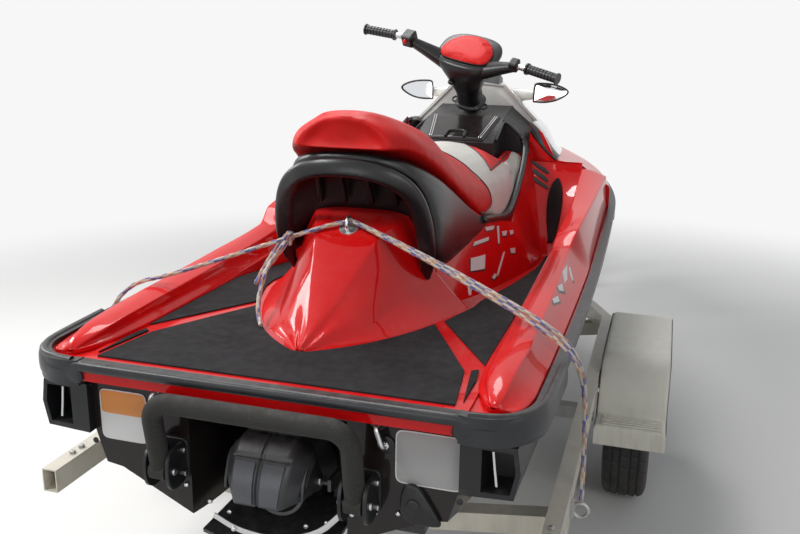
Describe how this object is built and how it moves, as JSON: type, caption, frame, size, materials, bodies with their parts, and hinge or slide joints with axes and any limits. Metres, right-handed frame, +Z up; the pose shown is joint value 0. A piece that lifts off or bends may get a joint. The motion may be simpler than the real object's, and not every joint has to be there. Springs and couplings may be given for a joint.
{
  "type": "personal watercraft on a trailer",
  "caption": "Sit-down jet-drive personal watercraft with a stepped seat, folding boarding step, reverse gate and front hood, carried on a single-axle trailer standing on its jack.",
  "frame": {"origin": "on the floor, under the middle of the whole object's length and width", "axes": "+X towards the bow and the trailer coupler, +Y to port, +Z up"},
  "size_m": [4.357, 1.672, 1.5909],
  "materials": {
    "gelcoat_red": "glossy red moulding",
    "gelcoat_white": "glossy white moulding",
    "gelcoat_black": "glossy black moulding",
    "matte_black_plastic": "grained black moulding",
    "rubber_black": "worn black rubber",
    "traction_mat": "scuffed charcoal traction mat",
    "upholstery": "red and white vinyl upholstery over foam",
    "pad_cover": "red padded cover",
    "mirror_glass": "mirror glass",
    "cast_aluminium": "cast aluminium, grey",
    "stainless_steel": "stainless steel",
    "engine_metal": "engine block",
    "trailer_paint": "cream painted steel",
    "galvanised": "galvanised steel",
    "fender_plastic": "cream plastic mudguard",
    "bunk_carpet": "carpeted board",
    "step_foam": "tube in a dark foam sleeve",
    "tyre_rubber": "road tyre",
    "rope_braid": "braided rope"
  },
  "bodies": {
    "craft_on_trailer": {"hull": "gelcoat_black", "deck": "gelcoat_red", "deck_mats": "traction_mat", "tail_hump": "gelcoat_red", "centre_pedestal": "gelcoat_red", "seat": "upholstery", "seat_shell": "matte_black_plastic", "grab_handle": "matte_black_plastic", "front_body": "gelcoat_red", "console": "matte_black_plastic", "steering_column": "stainless_steel", "stern_trim": "rubber_black", "bow_bumper": "rubber_black", "pump_housing": "cast_aluminium", "ride_plate": "cast_aluminium", "intake_grate": "cast_aluminium", "engine_block": "engine_metal", "step_brackets": "stainless_steel", "tow_eye": "stainless_steel", "tie_down_eyes": "stainless_steel", "lashing_rope": "rope_braid", "lashing_hooks": "galvanised", "drawbar": "trailer_paint", "crossbars": "trailer_paint", "axle": "galvanised", "coupler": "galvanised", "parking_jack": "galvanised", "winch_post": "trailer_paint", "bow_stop": "rubber_black", "bolsters": "gelcoat_red", "stern_corners": "rubber_black", "side_rails": "rubber_black", "sponsons": "matte_black_plastic", "frame_rails": "trailer_paint", "bunks": "bunk_carpet", "leaf_springs": "galvanised", "fenders": "fender_plastic", "fender_stays": "galvanised"},
    "front_hood_assembly": {"front_hood": "gelcoat_white", "mirror_housings": "gelcoat_white", "mirror_glasses": "mirror_glass", "gauge_pod": "matte_black_plastic"},
    "glove_lid": {"glove_box_lid": "gelcoat_black"},
    "steering": {"steering_neck": "matte_black_plastic", "handlebar": "stainless_steel", "handle_grips": "rubber_black", "switch_pod": "matte_black_plastic", "handlebar_pad": "pad_cover"},
    "impeller_shaft": {"impeller": "stainless_steel"},
    "nozzle": {"steering_nozzle": "cast_aluminium"},
    "gate": {"reverse_gate": "cast_aluminium"},
    "step": {"boarding_step": "step_foam"},
    "wheel_left": {"rim_left": "trailer_paint", "tyre_left": "tyre_rubber"},
    "wheel_right": {"rim_right": "trailer_paint", "tyre_right": "tyre_rubber"}
  },
  "joints": [
    {"name": "hood_hinge", "type": "hinge", "parent": "craft_on_trailer", "child": "front_hood_assembly", "pos_m": [0.8615, 0, 1.092], "axis": [0, 1, 0], "range_deg": [0, 55]},
    {"name": "glove_lid_hinge", "type": "hinge", "parent": "craft_on_trailer", "child": "glove_lid", "pos_m": [-0.2595, 0, 1.246], "axis": [0, 1, 0], "range_deg": [0, 45]},
    {"name": "steering_turn", "type": "hinge", "parent": "craft_on_trailer", "child": "steering", "pos_m": [-0.1975, 0, 1.296], "axis": [-0.6587, 0, 0.7524], "range_deg": [-6.3, 41.7]},
    {"name": "impeller_spin", "type": "hinge", "parent": "craft_on_trailer", "child": "impeller_shaft", "pos_m": [-1.7615, 0, 0.565], "axis": [1, 0, 0], "continuous": true},
    {"name": "nozzle_turn", "type": "hinge", "parent": "craft_on_trailer", "child": "nozzle", "pos_m": [-1.9565, 0, 0.565], "axis": [0, 0, 1], "range_deg": [-31.4, 4.8]},
    {"name": "gate_drop", "type": "hinge", "parent": "craft_on_trailer", "child": "gate", "pos_m": [-2.0015, 0, 0.585], "axis": [0, -1, 0], "range_deg": [0, 58]},
    {"name": "step_fold", "type": "hinge", "parent": "craft_on_trailer", "child": "step", "pos_m": [-2.1295, 0, 0.625], "axis": [0, -1, 0], "range_deg": [0, 140]},
    {"name": "wheel_left_spin", "type": "hinge", "parent": "craft_on_trailer", "child": "wheel_left", "pos_m": [-0.7015, 0.72, 0.265], "axis": [0, 1, 0], "continuous": true},
    {"name": "wheel_right_spin", "type": "hinge", "parent": "craft_on_trailer", "child": "wheel_right", "pos_m": [-0.7015, -0.72, 0.265], "axis": [0, 1, 0], "continuous": true}
  ],
  "couplings": [
    {"joint": "nozzle_turn", "follows": "steering_turn", "ratio": -0.75}
  ]
}
